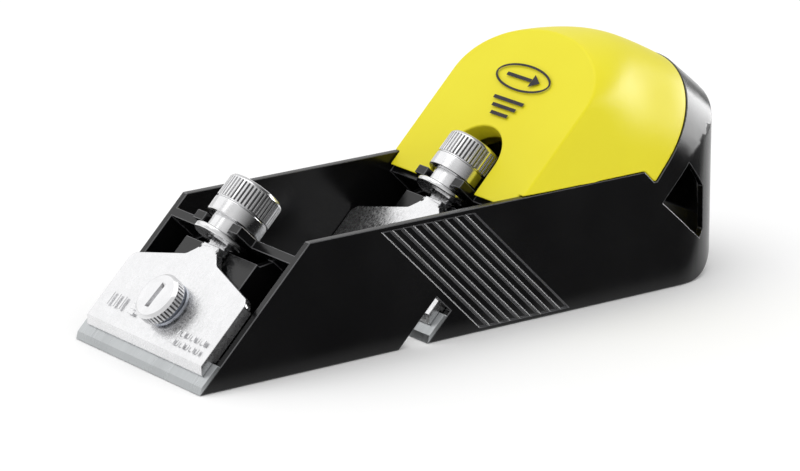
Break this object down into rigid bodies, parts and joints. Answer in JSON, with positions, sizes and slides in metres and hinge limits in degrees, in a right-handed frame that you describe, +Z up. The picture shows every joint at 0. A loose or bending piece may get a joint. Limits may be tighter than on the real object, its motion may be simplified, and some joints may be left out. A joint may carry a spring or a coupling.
{
  "type": "hand plane",
  "caption": "Small moulded hand plane with a domed palm handle and bevel-up blade units at the toe and in the middle, each with a clamp screw and a depth nut.",
  "frame": {"origin": "centre of the sole, midway along and across the plane, on the surface it stands on", "axes": "+X from the toe to the heel, +Y across the sole, +Z up"},
  "size_m": [0.155, 0.05, 0.0584],
  "materials": {
    "body_plastic": "satin black moulding",
    "handle_plastic": "gloss yellow moulding",
    "cast_plate": "bright plated casting",
    "knurled_plate": "bright plated, turned and knurled",
    "blade_steel": "ground",
    "screw_steel": "zinc plated",
    "insert_brass": "turned"
  },
  "bodies": {
    "plane_body": {"body": "body_plastic", "handle": "handle_plastic", "handle_screw_front": "screw_steel", "handle_screw_rear": "screw_steel", "front_threaded_insert": "insert_brass", "mid_threaded_insert": "insert_brass"},
    "front_carriage": {"front_holder": "cast_plate", "front_blade": "blade_steel", "front_locating_pins": "screw_steel"},
    "front_nut": {"front_depth_nut": "knurled_plate"},
    "front_washers": {"front_flat_washer": "screw_steel", "front_spring_washer": "screw_steel"},
    "front_knob": {"front_clamp_knob": "knurled_plate"},
    "mid_carriage": {"mid_holder": "cast_plate", "mid_blade": "blade_steel", "mid_locating_pins": "screw_steel"},
    "mid_nut": {"mid_depth_nut": "knurled_plate"},
    "mid_washers": {"mid_flat_washer": "screw_steel", "mid_spring_washer": "screw_steel"},
    "mid_knob": {"mid_clamp_knob": "knurled_plate"}
  },
  "joints": [
    {"name": "front_depth_turn", "type": "hinge", "parent": "plane_body", "child": "front_nut", "pos_m": [-0.04992, 0, 0.02899], "axis": [0.7071, 0, 0.7071], "range_deg": [-540, 288]},
    {"name": "front_depth_slide", "type": "slide", "parent": "plane_body", "child": "front_carriage", "axis": [0.7071, 0, 0.7071], "range_m": [-0.0008, 0.0015]},
    {"name": "front_clamp_lift", "type": "slide", "parent": "plane_body", "child": "front_washers", "axis": [-0.7071, 0, 0.7071], "range_m": [0, 0.002]},
    {"name": "front_clamp_turn", "type": "hinge", "parent": "front_washers", "child": "front_knob", "pos_m": [-0.07029, 0, 0.01428], "axis": [-0.7071, 0, 0.7071], "range_deg": [0, 900]},
    {"name": "mid_depth_turn", "type": "hinge", "parent": "plane_body", "child": "mid_nut", "pos_m": [0.01168, 0, 0.02899], "axis": [0.7071, 0, 0.7071], "range_deg": [-540, 288]},
    {"name": "mid_depth_slide", "type": "slide", "parent": "plane_body", "child": "mid_carriage", "axis": [0.7071, 0, 0.7071], "range_m": [-0.0008, 0.0015]},
    {"name": "mid_clamp_lift", "type": "slide", "parent": "plane_body", "child": "mid_washers", "axis": [-0.7071, 0, 0.7071], "range_m": [0, 0.002]},
    {"name": "mid_clamp_turn", "type": "hinge", "parent": "mid_washers", "child": "mid_knob", "pos_m": [-0.00869, 0, 0.01428], "axis": [-0.7071, 0, 0.7071], "range_deg": [0, 900]}
  ],
  "couplings": [
    {"joint": "front_depth_turn", "follows": "front_depth_slide", "rad_per_m": -6283.2},
    {"joint": "front_clamp_turn", "follows": "front_clamp_lift", "rad_per_m": 7854},
    {"joint": "mid_depth_turn", "follows": "mid_depth_slide", "rad_per_m": -6283.2},
    {"joint": "mid_clamp_turn", "follows": "mid_clamp_lift", "rad_per_m": 7854}
  ]
}
